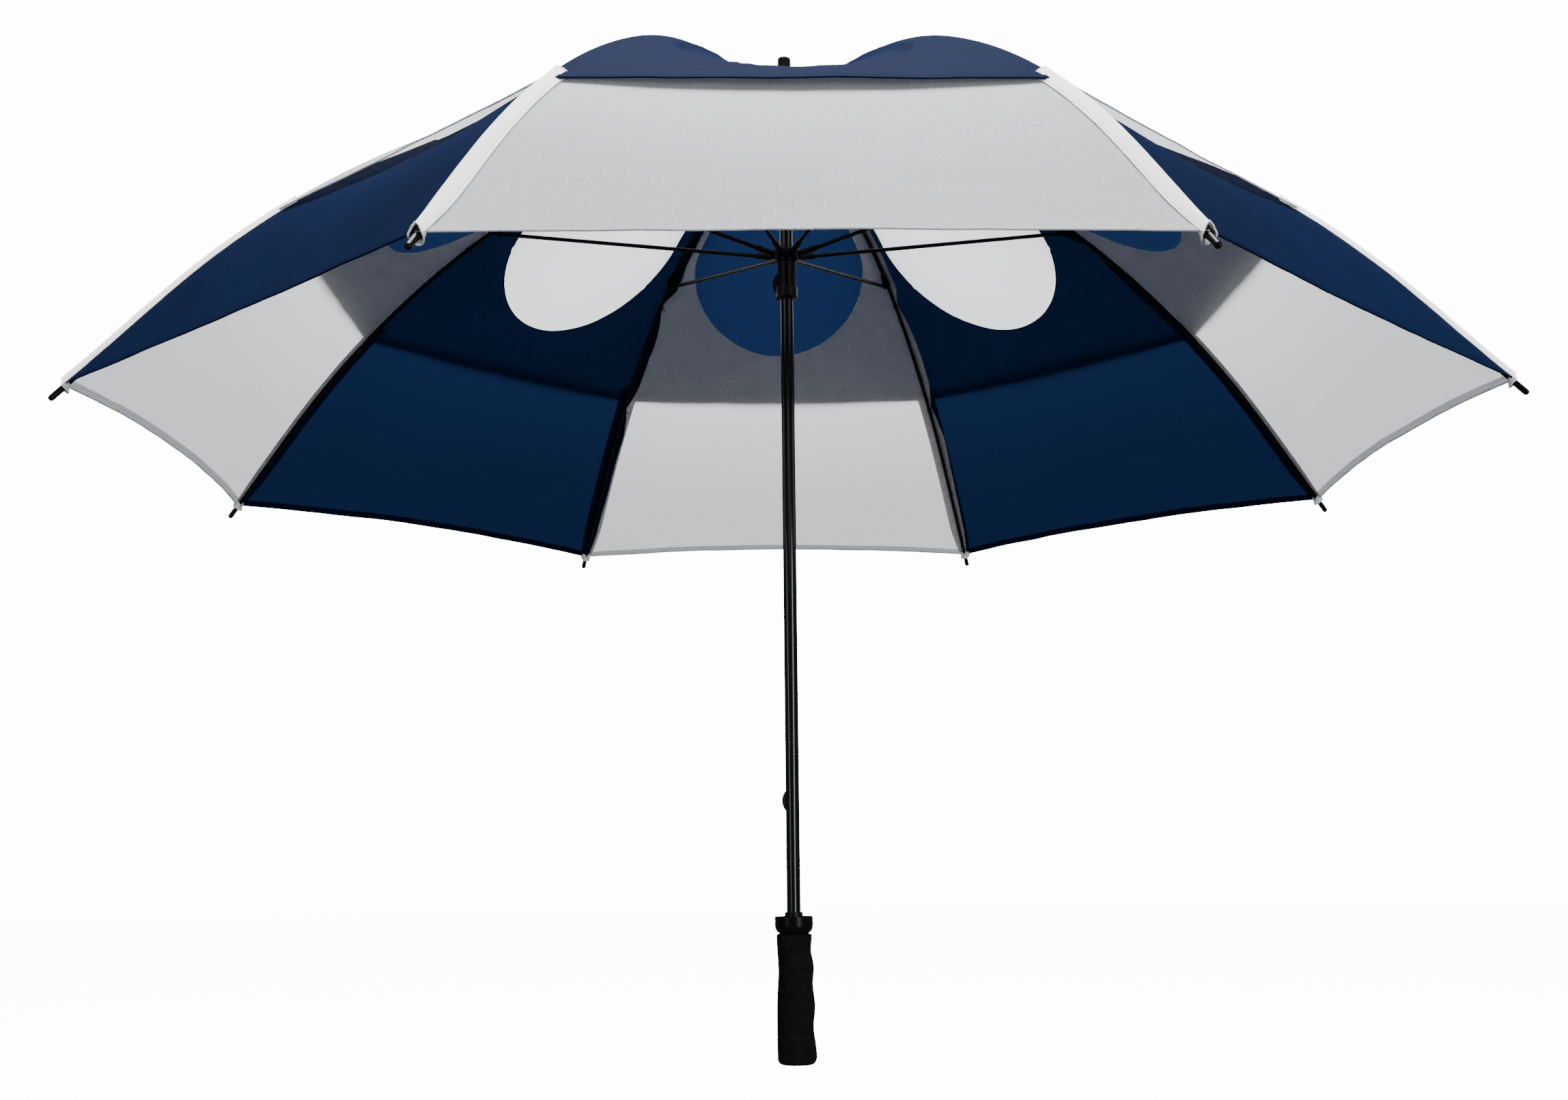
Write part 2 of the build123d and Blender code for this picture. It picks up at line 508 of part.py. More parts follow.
# Runner: sleeve, lower collar and hub in one moulding, slotted down its -X side to pass the catches
with BuildPart() as runner:
    runner_bore = SHAFT_RADIUS + BORE_CLEARANCE
    hub_height = 2 * RUNNER_HUB_HALF_HEIGHT
    with BuildSketch(Plane.XZ):
        with Locations((runner_bore, RUNNER_BOTTOM)):
            Rectangle(RUNNER_SLEEVE_RADIUS - runner_bore, RUNNER_TOP - RUNNER_BOTTOM,
                      align=(Align.MIN, Align.MIN))
            Rectangle(RUNNER_COLLAR_RADIUS - runner_bore, RUNNER_COLLAR_LENGTH, align=(Align.MIN, Align.MIN))
        with Locations((runner_bore, RUNNER_TOP)):
            Rectangle(RUNNER_HUB_RADIUS - runner_bore, hub_height, align=(Align.MIN, Align.MAX))
    revolve(axis=Axis.Z)
    chamfer(runner.faces().sort_by(Axis.Z)[0].edges().sort_by(SortBy.RADIUS)[-1], length=RUNNER_FLUTE_WIDTH)
    with BuildSketch(Plane.XY.offset(RUNNER_BOTTOM + RUNNER_COLLAR_LENGTH / 2)):
        with PolarLocations(RUNNER_SLEEVE_RADIUS, RUNNER_FLUTE_COUNT, start_angle=RIB_PITCH / 4):
            Rectangle(2 * RUNNER_FLUTE_HEIGHT, RUNNER_FLUTE_WIDTH)
    extrude(amount=RUNNER_LENGTH - RUNNER_COLLAR_LENGTH / 2)
    with BuildSketch(Plane.XY.offset(RUNNER_BOTTOM)):
        Rectangle(2 * RUNNER_COLLAR_RADIUS, RUNNER_SLOT_WIDTH, align=(Align.MAX, Align.CENTER))
    extrude(amount=RUNNER_TOP - RUNNER_BOTTOM, mode=Mode.SUBTRACT)
save(runner.part, "runner")

# Handle core: a liner bonded between the shaft and the foam, closed at its lower end
core_radius = SHAFT_RADIUS + CORE_WALL
with BuildPart() as handle_core:
    with BuildSketch(Plane.XY.offset(GRIP_FLOOR)):
        Circle(core_radius)
    extrude(amount=GRIP_LENGTH - GRIP_FLOOR)
    with BuildSketch(Plane.XY.offset(SHAFT_BOTTOM)):
        Circle(SHAFT_RADIUS)
    extrude(amount=GRIP_LENGTH, mode=Mode.SUBTRACT)
save(handle_core.part, "handle_core")

# Foam grip: a round sleeve with shallow finger grooves on its +X side
with BuildPart() as foam_grip:
    with BuildSketch(Plane.XY):
        Circle(GRIP_RADIUS)
    extrude(amount=GRIP_LENGTH)
    chamfer(foam_grip.faces().sort_by(Axis.Z)[0].edges(), length=GRIP_EDGE)
    with BuildSketch(Plane.XZ):
        with Locations(*[(GRIP_RADIUS - GROOVE_DEPTH + GROOVE_RADIUS, height) for height in GROOVE_HEIGHTS]):
            Circle(GROOVE_RADIUS)
    extrude(amount=GRIP_RADIUS, both=True, mode=Mode.SUBTRACT)
    with BuildSketch(Plane.XY.offset(GRIP_FLOOR)):
        Circle(core_radius)
    extrude(amount=GRIP_LENGTH, mode=Mode.SUBTRACT)
save(foam_grip.part, "foam_grip")

# Tip cup: a bowl on top of the grip whose ring-shaped recess takes the rib tips of the closed umbrella
cup_top = GRIP_LENGTH + CUP_HEIGHT
with BuildPart() as tip_cup:
    with BuildSketch(Plane.XZ):
        with BuildLine():
            Polyline(
                (CUP_RADIUS, cup_top - CUP_HEIGHT / 2),
                (CUP_RADIUS, cup_top),
                (SHAFT_RADIUS, cup_top),
                (SHAFT_RADIUS, GRIP_LENGTH),
                (CUP_NECK_RADIUS, GRIP_LENGTH),
            )
            ThreePointArc((CUP_NECK_RADIUS, GRIP_LENGTH),
                          ((CUP_NECK_RADIUS + 2 * CUP_RADIUS) / 3, GRIP_LENGTH + CUP_HEIGHT / 6),
                          (CUP_RADIUS, cup_top - CUP_HEIGHT / 2))
        make_face()
        with Locations((CUP_BOSS_RADIUS, GRIP_LENGTH + CUP_FLOOR)):
            Rectangle(CUP_RECESS_WIDTH, CUP_HEIGHT, align=(Align.MIN, Align.MIN), mode=Mode.SUBTRACT)
    revolve(axis=Axis.Z)
save(tip_cup.part, "tip_cup")

# Cup collar: the ring that grips the shaft above the cup
with BuildPart() as cup_collar:
    with BuildSketch(Plane.XY.offset(cup_top)):
        Circle(SHAFT_RADIUS + COLLAR_WALL)
        Circle(SHAFT_RADIUS, mode=Mode.SUBTRACT)
    extrude(amount=COLLAR_HEIGHT)
    chamfer(cup_collar.faces().sort_by(Axis.Z)[-1].edges().sort_by(SortBy.RADIUS)[-1], length=CORE_WALL / 4)
save(cup_collar.part, "cup_collar")

print("runner travel", round(RUNNER_TRAVEL, 2), "fold", round(FOLD_ANGLE, 3), "flex", round(FLEX_ANGLE, 3))
print("stretcher joint", STRETCHER_JOINT, "link", LINK_LENGTH, "runner pivot", RUNNER_PIVOT_HEIGHT)
print("catches", UPPER_CATCH_HEIGHT, LOWER_CATCH_HEIGHT, "tip end", TIP_END)
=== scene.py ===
import json
import math
from math import cos, pi, radians, sin

import bpy
import numpy as np
from mathutils import Matrix, Vector, noise
from mathutils.geometry import delaunay_2d_cdt


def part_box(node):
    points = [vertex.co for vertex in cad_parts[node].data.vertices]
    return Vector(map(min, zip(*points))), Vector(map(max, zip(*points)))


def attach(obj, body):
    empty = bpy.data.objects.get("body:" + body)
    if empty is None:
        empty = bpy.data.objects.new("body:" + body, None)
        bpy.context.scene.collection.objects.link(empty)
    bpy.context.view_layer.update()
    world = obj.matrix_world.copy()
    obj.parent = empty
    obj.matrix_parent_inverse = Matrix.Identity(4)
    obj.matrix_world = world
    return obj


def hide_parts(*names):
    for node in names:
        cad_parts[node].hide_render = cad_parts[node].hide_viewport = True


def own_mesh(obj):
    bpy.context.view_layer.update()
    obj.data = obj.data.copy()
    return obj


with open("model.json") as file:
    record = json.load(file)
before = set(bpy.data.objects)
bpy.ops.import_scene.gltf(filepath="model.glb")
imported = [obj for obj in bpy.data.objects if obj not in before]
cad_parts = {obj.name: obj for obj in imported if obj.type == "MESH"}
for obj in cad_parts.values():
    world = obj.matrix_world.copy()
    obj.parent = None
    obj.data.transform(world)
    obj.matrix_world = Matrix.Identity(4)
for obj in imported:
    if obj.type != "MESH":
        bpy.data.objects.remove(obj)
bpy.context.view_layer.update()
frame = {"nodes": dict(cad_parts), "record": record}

# Frame values, in metres, as the CAD has them. Ribs stand at 22.5 degrees and every 45 degrees after.
RIBS = 8
PITCH = 2 * pi / RIBS
HALF = PITCH / 2
CROWN_R, CROWN_Z = 0.0145, 0.929
ROOT_ANGLE, JOINT_ANGLE, TIP_ANGLE = radians(3.0), radians(27.5), radians(48.2)
ROOT_STRAIGHT, TIP_STRAIGHT = 0.102, 0.133
INNER_BEND, OUTER_BEND = 0.541, 0.872
CANOPY_R, UPPER_R = 0.665, 0.49985
HEM_SCOOP = {"lower": 0.012, "upper": 0.004}
VENT_TOP_X, VENT_TOP_R = 0.100, 0.030
VENT_LOW_X, VENT_LOW_R = 0.300, 0.100
RUNNER_PIVOT_Z = 0.787795

# Cloth values: how far each layer lies outside the rib line, and how far the middle of a gore hangs below it
LOWER_LIFT, UPPER_LIFT = 0.0040, 0.0060
LIFT_LOSS, LOSS_FROM_R, LOSS_RUN = 0.0012, 0.60, 0.06
LOWER_INNER_X, UPPER_INNER_X = 0.016, 0.0085
LOWER_SLACK = ((0, 0), (0.05, 0.004), (0.1, 0.009), (0.2, 0.0155), (0.3, 0.0185), (0.35, 0.0165), (0.38, 0.013),
               (0.4, 0.0108), (0.45, 0.0105), (0.5, 0.0080), (0.56, 0.0080), (0.62, 0.0095))
UPPER_SLACK = ((0, 0), (0.05, 0.008), (0.1, 0.018), (0.2, 0.029), (0.27, 0.032), (0.3, 0.031), (0.35, 0.024),
               (0.38, 0.018), (0.4, 0.013), (0.43, 0.006), (0.46, -0.0005))
LAYER_GAP = 0.0018
VENT_GIVE = 0.8
REST_BLEND, REST_RISE = 0.002, 0.00035
WIDE_WRINKLE, FINE_WRINKLE, HEM_WRINKLE = 0.0009, 0.0004, 0.0005
GRID = 0.0065


def rib_angle(number):
    return HALF + (number - 1) * PITCH


def rib_line(s):
    """Radius, height and slope below horizontal at that distance along the rib from the crown pivot."""
    r, z = CROWN_R, CROWN_Z
    run = min(s, ROOT_STRAIGHT)
    r, z, slope = r + run * cos(ROOT_ANGLE), z - run * sin(ROOT_ANGLE), ROOT_ANGLE
    s -= run
    for radius, end in ((INNER_BEND, JOINT_ANGLE), (OUTER_BEND, TIP_ANGLE)):
        after = min(end, slope + s / radius)
        r, z = r + radius * (sin(after) - sin(slope)), z - radius * (cos(slope) - cos(after))
        s -= radius * (after - slope)
        slope = after
    return r + s * cos(slope), z - s * sin(slope), slope


JOINT_S = ROOT_STRAIGHT + INNER_BEND * (JOINT_ANGLE - ROOT_ANGLE)
RIB_S = JOINT_S + OUTER_BEND * (TIP_ANGLE - JOINT_ANGLE) + TIP_STRAIGHT
JOINT_R = rib_line(JOINT_S)[0]
SAMPLES = np.linspace(0, RIB_S, 800)
LINE = np.array([rib_line(s) for s in SAMPLES])


def polar(r, angle, z):
    return Vector((r * cos(angle), r * sin(angle), z))


def lifted(lift):
    """The rib line raised outwards by that much, a little less at its end, as (radii, heights)."""
    lift = lift - LIFT_LOSS * np.clip((LINE[:, 0] - LOSS_FROM_R) / LOSS_RUN, 0, 1)
    return LINE[:, 0] + lift * np.sin(LINE[:, 2]), LINE[:, 1] + lift * np.cos(LINE[:, 2])


LINES = {lift: lifted(lift) for lift in (LOWER_LIFT, UPPER_LIFT)}
LAYERS = {
    "lower": {"lift": LOWER_LIFT, "inner": LOWER_INNER_X, "rim": CANOPY_R, "slack": LOWER_SLACK},
    "upper": {"lift": UPPER_LIFT, "inner": UPPER_INNER_X, "rim": UPPER_R, "slack": UPPER_SLACK},
}


def smooth_table(table, x, spread=0.03):
    """A table's value at x, smoothed over its corners."""
    places, values = zip(*table)
    return sum(weight * np.interp(x + shift * spread, places, values)
               for shift, weight in ((-1, 0.15), (-0.5, 0.2), (0, 0.3), (0.5, 0.2), (1, 0.15)))


SLACK_X = np.linspace(0, 0.65, 261)
SLACK = {layer: smooth_table(facts["slack"], SLACK_X) for layer, facts in LAYERS.items()}


def vent_distance(x, y):
    """How far a point of a gore lies outside the vent, or inside it where negative."""
    apart = VENT_LOW_X - VENT_TOP_X
    lean = math.asin((VENT_LOW_R - VENT_TOP_R) / apart)
    t = min(1.0, max(0.0, (x - VENT_TOP_X + abs(y) * math.tan(lean)) / apart))
    return math.hypot(x - VENT_TOP_X - t * apart, y) - VENT_TOP_R - t * (VENT_LOW_R - VENT_TOP_R)


def rib_share(x, y):
    """How far a point of a gore is from its middle, 0, towards a rib, 1."""
    return min(1.0, abs(y) / max(x * math.tan(HALF), 1e-5))


def layer_height(layer, x, y, gore):
    """Height of a layer on its own, as if the other one were not there."""
    radii, heights = LINES[LAYERS[layer]["lift"]]
    z = np.interp(max(x, 1e-4) / cos(HALF), radii, heights, left=heights[0])
    share = rib_share(x, y)
    return z - np.interp(x, SLACK_X, SLACK[layer]) * (1 - share ** 2) + wrinkle(layer, x, y, gore)


def cloth_height(layer, x, y, gore):
    """Height of the cloth at a point of a gore seen from above: x out along the gore's middle, y across.

    The upper layer rests on the lower one, and hangs below it only over the vent."""
    z = layer_height(layer, x, y, gore)
    if layer == "upper":
        rest = layer_height("lower", x, y, gore) + LAYER_GAP - VENT_GIVE * max(0.0, -vent_distance(x, y))
        blend = max(0.0, REST_BLEND - abs(z - rest)) / REST_BLEND
        z = max(z, rest) + REST_RISE * blend ** 2
    return z


def wrinkle(layer, x, y, gore):
    """Small pulls in the cloth, running out from the crown or along the lower hem, and gone at the ribs."""
    seed = gore * 7.3 + (31 if layer == "upper" else 0)
    across = noise.noise(Vector((y / max(x, 0.05) * 9, x * 2.2, seed)))
    fine = noise.noise(Vector((y * 38, x * 9, seed + 11)))
    pulls = 0
    if layer == "lower" and x > 0.5:
        pulls = HEM_WRINKLE * noise.noise(Vector((y * 9, x * 75, seed + 23))) * min(1.0, (x - 0.5) / 0.05)
    depth = WIDE_WRINKLE * across + FINE_WRINKLE * fine + pulls
    return depth * (1 - rib_share(x, y) ** 4) * min(1.0, x / 0.2)


def to_world(gore, x, y, z):
    """A point of gore k, whose middle is half a pitch past rib k."""
    middle = rib_angle(gore) + HALF
    return Vector((x * cos(middle) - y * sin(middle), x * sin(middle) + y * cos(middle), z))


def cloth_point(layer, gore, x, y, lift=0.0):
    return to_world(gore, x, y, cloth_height(layer, x, y, gore) + lift)


# Making objects


def new_object(name, vertices, faces, finish, smooth=True):
    """A mesh object with one material, linked to the scene."""
    mesh = bpy.data.meshes.new(name)
    mesh.from_pydata([tuple(v) for v in vertices], [], faces)
    mesh.validate()
    mesh.update()
    for face in mesh.polygons:
        face.use_smooth = smooth
    piece = bpy.data.objects.new(name, mesh)
    bpy.context.scene.collection.objects.link(piece)
    mesh.materials.append(finish)
    return piece


def stitches(points, normals, length=0.0024, pitch=0.0036, width=0.00042, height=0.0003):
    """A row of thread stitches along points, each a short raised bar, as vertices and faces."""
    points = [Vector(p) for p in points]
    lengths = [0.0]
    for a, b in zip(points, points[1:]):
        lengths.append(lengths[-1] + (b - a).length)

    def at(distance):
        i = int(min(len(points) - 2, max(0, np.searchsorted(lengths, distance) - 1)))
        t = (distance - lengths[i]) / max(1e-9, lengths[i + 1] - lengths[i])
        return points[i].lerp(points[i + 1], t), Vector(normals[i]).lerp(Vector(normals[i + 1]), t).normalized()

    vertices, faces = [], []
    distance = pitch
    while distance + length < lengths[-1]:
        (start, up), (end, _) = at(distance), at(distance + length)
        side = (end - start).cross(up).normalized() * (width / 2)
        base = len(vertices)
        middle = start.lerp(end, 0.5) + up * height
        vertices += [start + side, start - side, middle - side, middle + side, end - side, end + side]
        faces += [tuple(base + i for i in face) for face in ((0, 1, 2, 3), (3, 2, 4, 5))]
        distance += pitch
    return vertices, faces


def tube(points, radius, sides=10, closed=False):
    """Vertices and faces of a round tube along points, with flat ends."""
    points = [Vector(p) for p in points]
    count = len(points)
    vertices, faces = [], []
    normal = None
    for i, p in enumerate(points):
        if closed:
            ahead = points[(i + 1) % count] - points[i - 1]
        else:
            ahead = points[min(i + 1, count - 1)] - points[max(i - 1, 0)]
        ahead.normalize()
        if normal is None:
            normal = ahead.orthogonal().normalized()
        normal = (normal - ahead * normal.dot(ahead)).normalized()
        side = ahead.cross(normal)
        r = radius(i / max(1, count - 1)) if callable(radius) else radius
        for j in range(sides):
            a = 2 * pi * j / sides
            vertices.append(p + (normal * cos(a) + side * sin(a)) * r)
    rings = count if closed else count - 1
    for i in range(rings):
        a, b = i * sides, ((i + 1) % count) * sides
        for j in range(sides):
            k = (j + 1) % sides
            faces.append((a + j, a + k, b + k, b + j))
    if not closed:
        faces.append(tuple(reversed(range(sides))))
        faces.append(tuple(range((count - 1) * sides, count * sides)))
    return vertices, faces


def join_parts(parts):
    """One list of vertices and one of faces from several such pairs."""
    vertices, faces = [], []
    for some_vertices, some_faces in parts:
        base = len(vertices)
        vertices += list(some_vertices)
        faces += [tuple(base + i for i in face) for face in some_faces]
    return vertices, faces


# Materials

THREADS_SCALE, SLUBS_SCALE = 380.0, 420.0


def material(name, base, roughness):
    """A new material, with its node tree and its shader."""
    made = bpy.data.materials.new(name)
    made.use_nodes = True
    shader = made.node_tree.nodes["Principled BSDF"]
    shader.inputs["Base Color"].default_value = (*base, 1)
    shader.inputs["Roughness"].default_value = roughness
    return made, made.node_tree, shader


def node(tree, kind, **inputs):
    """A new shader node with those input values."""
    made = tree.nodes.new(kind)
    for key, value in inputs.items():
        made.inputs[key.replace("_", " ")].default_value = value
    return made


def object_coordinates(tree):
    return tree.nodes.new("ShaderNodeTexCoord").outputs["Object"]


def add_bump(tree, shader, height, strength, distance):
    bump = node(tree, "ShaderNodeBump", Strength=strength, Distance=distance)
    tree.links.new(height, bump.inputs["Height"])
    tree.links.new(bump.outputs["Normal"], shader.inputs["Normal"])


def mixed_color(tree, factor, first, second):
    """A color from first to second, as factor goes from 0 to 1."""
    mix = tree.nodes.new("ShaderNodeMix")
    mix.data_type = "RGBA"
    mix.inputs["A"].default_value = (*first, 1)
    mix.inputs["B"].default_value = (*second, 1)
    tree.links.new(factor, mix.inputs["Factor"])
    return mix.outputs["Result"]


def ramp(tree, factor, low, high):
    """The factor spread so that low becomes 0 and high becomes 1."""
    made = tree.nodes.new("ShaderNodeMapRange")
    made.inputs["From Min"].default_value = low
    made.inputs["From Max"].default_value = high
    tree.links.new(factor, made.inputs["Value"])
    return made.outputs["Result"]


def cloth_material(name, dark, light, through, share, sheen, gloss):
    """Thin plain-weave cloth, its color between dark and light, that lets a share of the light through."""
    made, tree, shader = material(name, light, 0.72)
    where = object_coordinates(tree)
    patches = node(tree, "ShaderNodeTexNoise", Scale=5.0, Detail=4.0, Roughness=0.6)
    tree.links.new(where, patches.inputs["Vector"])
    color = mixed_color(tree, ramp(tree, patches.outputs["Fac"], 0.3, 0.7), dark, light)
    flat = tree.nodes.new("ShaderNodeUVMap")
    flat.uv_map = "cloth"
    weave = tree.nodes.new("ShaderNodeMath")
    weave.operation = "ADD"
    for socket, direction in enumerate(("X", "Y")):
        wave = node(tree, "ShaderNodeTexWave", Scale=THREADS_SCALE, Distortion=0.6, Detail=1.0)
        wave.bands_direction = direction
        tree.links.new(flat.outputs["UV"], wave.inputs["Vector"])
        tree.links.new(wave.outputs["Fac"], weave.inputs[socket])
    slubs = node(tree, "ShaderNodeTexNoise", Scale=SLUBS_SCALE, Detail=2.0)
    tree.links.new(flat.outputs["UV"], slubs.inputs["Vector"])
    threads = tree.nodes.new("ShaderNodeMix")
    threads.data_type = "RGBA"
    threads.blend_type = "MULTIPLY"
    threads.inputs["Factor"].default_value = 0.35
    tree.links.new(color, threads.inputs["A"])
    tree.links.new(ramp(tree, slubs.outputs["Fac"], 0.2, 0.62), threads.inputs["B"])
    tree.links.new(threads.outputs["Result"], shader.inputs["Base Color"])
    creases = node(tree, "ShaderNodeTexNoise", Scale=14.0, Detail=5.0, Roughness=0.55)
    tree.links.new(where, creases.inputs["Vector"])
    weave_bump = node(tree, "ShaderNodeBump", Strength=0.2, Distance=0.0001)
    tree.links.new(weave.outputs[0], weave_bump.inputs["Height"])
    crease_bump = node(tree, "ShaderNodeBump", Strength=0.25, Distance=0.0015)
    tree.links.new(creases.outputs["Fac"], crease_bump.inputs["Height"])
    tree.links.new(weave_bump.outputs["Normal"], crease_bump.inputs["Normal"])
    tree.links.new(crease_bump.outputs["Normal"], shader.inputs["Normal"])
    shader.inputs["Sheen Weight"].default_value = sheen
    shader.inputs["Specular IOR Level"].default_value = gloss
    glow = tree.nodes.new("ShaderNodeBsdfTranslucent")
    glow.inputs["Color"].default_value = (*through, 1)
    tree.links.new(crease_bump.outputs["Normal"], glow.inputs["Normal"])
    mix = tree.nodes.new("ShaderNodeMixShader")
    mix.inputs["Fac"].default_value = share
    tree.links.new(shader.outputs["BSDF"], mix.inputs[1])
    tree.links.new(glow.outputs["BSDF"], mix.inputs[2])
    tree.links.new(mix.outputs["Shader"], tree.nodes["Material Output"].inputs["Surface"])
    return made


def moulded_material(name, base, roughness, grain, shine=0.35, texture=0.12):
    """Black moulded plastic or paint, with a fine grain and slightly uneven gloss."""
    made, tree, shader = material(name, base, roughness)
    where = object_coordinates(tree)
    fine = node(tree, "ShaderNodeTexNoise", Scale=grain, Detail=3.0)
    tree.links.new(where, fine.inputs["Vector"])
    add_bump(tree, shader, fine.outputs["Fac"], texture, 0.0002)
    smudges = node(tree, "ShaderNodeTexNoise", Scale=40.0, Detail=3.0)
    tree.links.new(where, smudges.inputs["Vector"])
    gloss = tree.nodes.new("ShaderNodeMapRange")
    gloss.inputs["To Min"].default_value = roughness * 0.8
    gloss.inputs["To Max"].default_value = roughness * 1.25
    tree.links.new(smudges.outputs["Fac"], gloss.inputs["Value"])
    tree.links.new(gloss.outputs["Result"], shader.inputs["Roughness"])
    lighter = tuple(c * 1.4 + 0.001 for c in base)
    color = mixed_color(tree, ramp(tree, smudges.outputs["Fac"], 0.35, 0.75), base, lighter)
    tree.links.new(color, shader.inputs["Base Color"])
    shader.inputs["Specular IOR Level"].default_value = shine
    return made


def foam_material():
    """Closed-cell foam: matt black with fine pits."""
    made, tree, shader = material("foam", (0.007, 0.007, 0.0075), 0.92)
    where = object_coordinates(tree)
    cells = node(tree, "ShaderNodeTexVoronoi", Scale=1100.0)
    tree.links.new(where, cells.inputs["Vector"])
    dents = node(tree, "ShaderNodeTexNoise", Scale=160.0, Detail=5.0, Roughness=0.65)
    tree.links.new(where, dents.inputs["Vector"])
    add_up = tree.nodes.new("ShaderNodeMath")
    add_up.operation = "ADD"
    tree.links.new(cells.outputs["Distance"], add_up.inputs[0])
    tree.links.new(dents.outputs["Fac"], add_up.inputs[1])
    add_bump(tree, shader, add_up.outputs[0], 0.45, 0.0004)
    color = mixed_color(tree, ramp(tree, dents.outputs["Fac"], 0.35, 0.7), (0.005, 0.005, 0.0055),
                        (0.011, 0.011, 0.0115))
    tree.links.new(color, shader.inputs["Base Color"])
    shader.inputs["Specular IOR Level"].default_value = 0.1
    return made


def steel_material():
    """Bare steel wire, lightly scuffed."""
    made, tree, shader = material("steel_wire", (0.42, 0.42, 0.43), 0.3)
    shader.inputs["Metallic"].default_value = 1.0
    where = object_coordinates(tree)
    scuffs = node(tree, "ShaderNodeTexNoise", Scale=300.0, Detail=4.0)
    tree.links.new(where, scuffs.inputs["Vector"])
    add_bump(tree, shader, scuffs.outputs["Fac"], 0.1, 0.0001)
    color = mixed_color(tree, scuffs.outputs["Fac"], (0.33, 0.33, 0.34), (0.5, 0.5, 0.51))
    tree.links.new(color, shader.inputs["Base Color"])
    return made


WHITE = cloth_material("white_cloth", dark=(0.61, 0.62, 0.64), light=(0.67, 0.68, 0.70),
                       through=(0.66, 0.67, 0.69), share=0.46, sheen=0.03, gloss=0.15)
NAVY = cloth_material("navy_cloth", dark=(0.0022, 0.0070, 0.029), light=(0.0033, 0.0100, 0.040),
                      through=(0.0068, 0.0165, 0.055), share=0.30, sheen=0, gloss=0.01)
TAPE = cloth_material("white_tape", dark=(0.93, 0.93, 0.92), light=(0.96, 0.96, 0.95),
                      through=(0.9, 0.9, 0.9), share=0.04, sheen=0.1, gloss=0.15)
THREAD = moulded_material("black_thread", (0.006, 0.006, 0.007), 0.8, grain=2500)
PAINT = moulded_material("shaft_paint", (0.0022, 0.0022, 0.0027), 0.18, grain=900, shine=0.3, texture=0.01)
RIB_BLACK = moulded_material("rib_black", (0.004, 0.004, 0.0045), 0.45, grain=700, shine=0.08)
PLASTIC = moulded_material("black_plastic", (0.004, 0.004, 0.0045), 0.34, grain=600, shine=0.13)
GLOSSY = moulded_material("gloss_black_plastic", (0.004, 0.0038, 0.004), 0.26, grain=500, shine=0.09,
                          texture=0.03)
CATCH = moulded_material("catch_black", (0.006, 0.006, 0.006), 0.3, grain=800)
FOAM = foam_material()
STEEL = steel_material()

CAD_MATERIALS = {
    "shaft_paint": PAINT, "rib_black": RIB_BLACK, "black_plastic": PLASTIC, "gloss_black_plastic": GLOSSY,
    "catch_black": CATCH, "foam": FOAM, "steel_wire": STEEL, "white_cloth": WHITE, "navy_cloth": NAVY,
}
slots = {part["node"]: part["material_slot"] for part in frame["record"]["subparts"]}
for name, piece in frame["nodes"].items():
    for index in range(len(piece.material_slots)):
        piece.material_slots[index].material = CAD_MATERIALS[slots[name]]


# Canopy cloth

HEM_STEPS = 40
HEM_BAND = {"lower": 0.0040, "upper": 0.0048}
HEM_BEAD_R, VENT_BEAD_R = 0.00075, 0.00065
FOLD_FROM_S, FOLD_SHORT_OF_END, UPPER_FOLD_TO_S = 0.03, 0.02, 0.52

# How far the seam's flap reaches at distances along the rib in radius; the two ties pinch it
TIES = (0.371, 0.507)
FLAP = ((0.06, 0.002), (0.12, 0.006), (0.2, 0.008), (0.3, 0.009), (0.345, 0.010), (0.366, 0.0035), (0.376, 0.003),
        (0.395, 0.0075), (0.43, 0.0105), (0.475, 0.010), (0.498, 0.005), (0.507, 0.0025), (0.516, 0.006),
        (0.54, 0.0095), (0.59, 0.008), (0.64, 0.0065), (0.662, 0.003))
FLAP_SIDE = {1: 1, 2: -1, 3: -1, 4: 1, 5: -1, 6: 1, 7: -1, 8: 1}


def cloth_of(layer, gore):
    """Lower gores are white at the front, back and sides; the upper ones are the other way round."""
    lower_white = gore % 2 == 0
    return "white" if lower_white == (layer == "lower") else "navy"


def hem_x(layer, y):
    """The hem's line seen from above, slightly hollow between the ribs."""
    corner = LAYERS[layer]["rim"] * cos(HALF)
    across = LAYERS[layer]["rim"] * sin(HALF)
    return corner - HEM_SCOOP[layer] * (1 - (y / across) ** 2)


def vent_outline():
    """Half of the vent's teardrop seen from above, from its low end to its top, with y not negative."""
    lean = math.asin((VENT_LOW_R - VENT_TOP_R) / (VENT_LOW_X - VENT_TOP_X))
    points = []
    low_steps, runs, top_steps = 34, 26, 12
    for i in range(low_steps + 1):
        a = (pi / 2 + lean) * i / low_steps
        points.append((VENT_LOW_X + VENT_LOW_R * cos(a), VENT_LOW_R * sin(a)))
    first, last = points[-1], (VENT_TOP_X - VENT_TOP_R * sin(lean), VENT_TOP_R * cos(lean))
    points += [tuple(np.add(first, np.multiply(np.subtract(last, first), i / runs))) for i in range(1, runs)]
    for i in range(top_steps + 1):
        a = pi / 2 + lean + (pi / 2 - lean) * i / top_steps
        points.append((VENT_TOP_X + VENT_TOP_R * cos(a), max(0.0, VENT_TOP_R * sin(a))))
    return points


def spaced(start, end, step):
    """Points from start to end, without the last, about a step apart."""
    count = max(1, round((Vector(end) - Vector(start)).length / step))
    return [tuple(Vector(start).lerp(Vector(end), i / count)) for i in range(count)]


def joint_cut_x(y):
    """Where the line square to the rib through its joint crosses that y, in a gore seen from above."""
    return (JOINT_R - y * sin(HALF)) / cos(HALF)


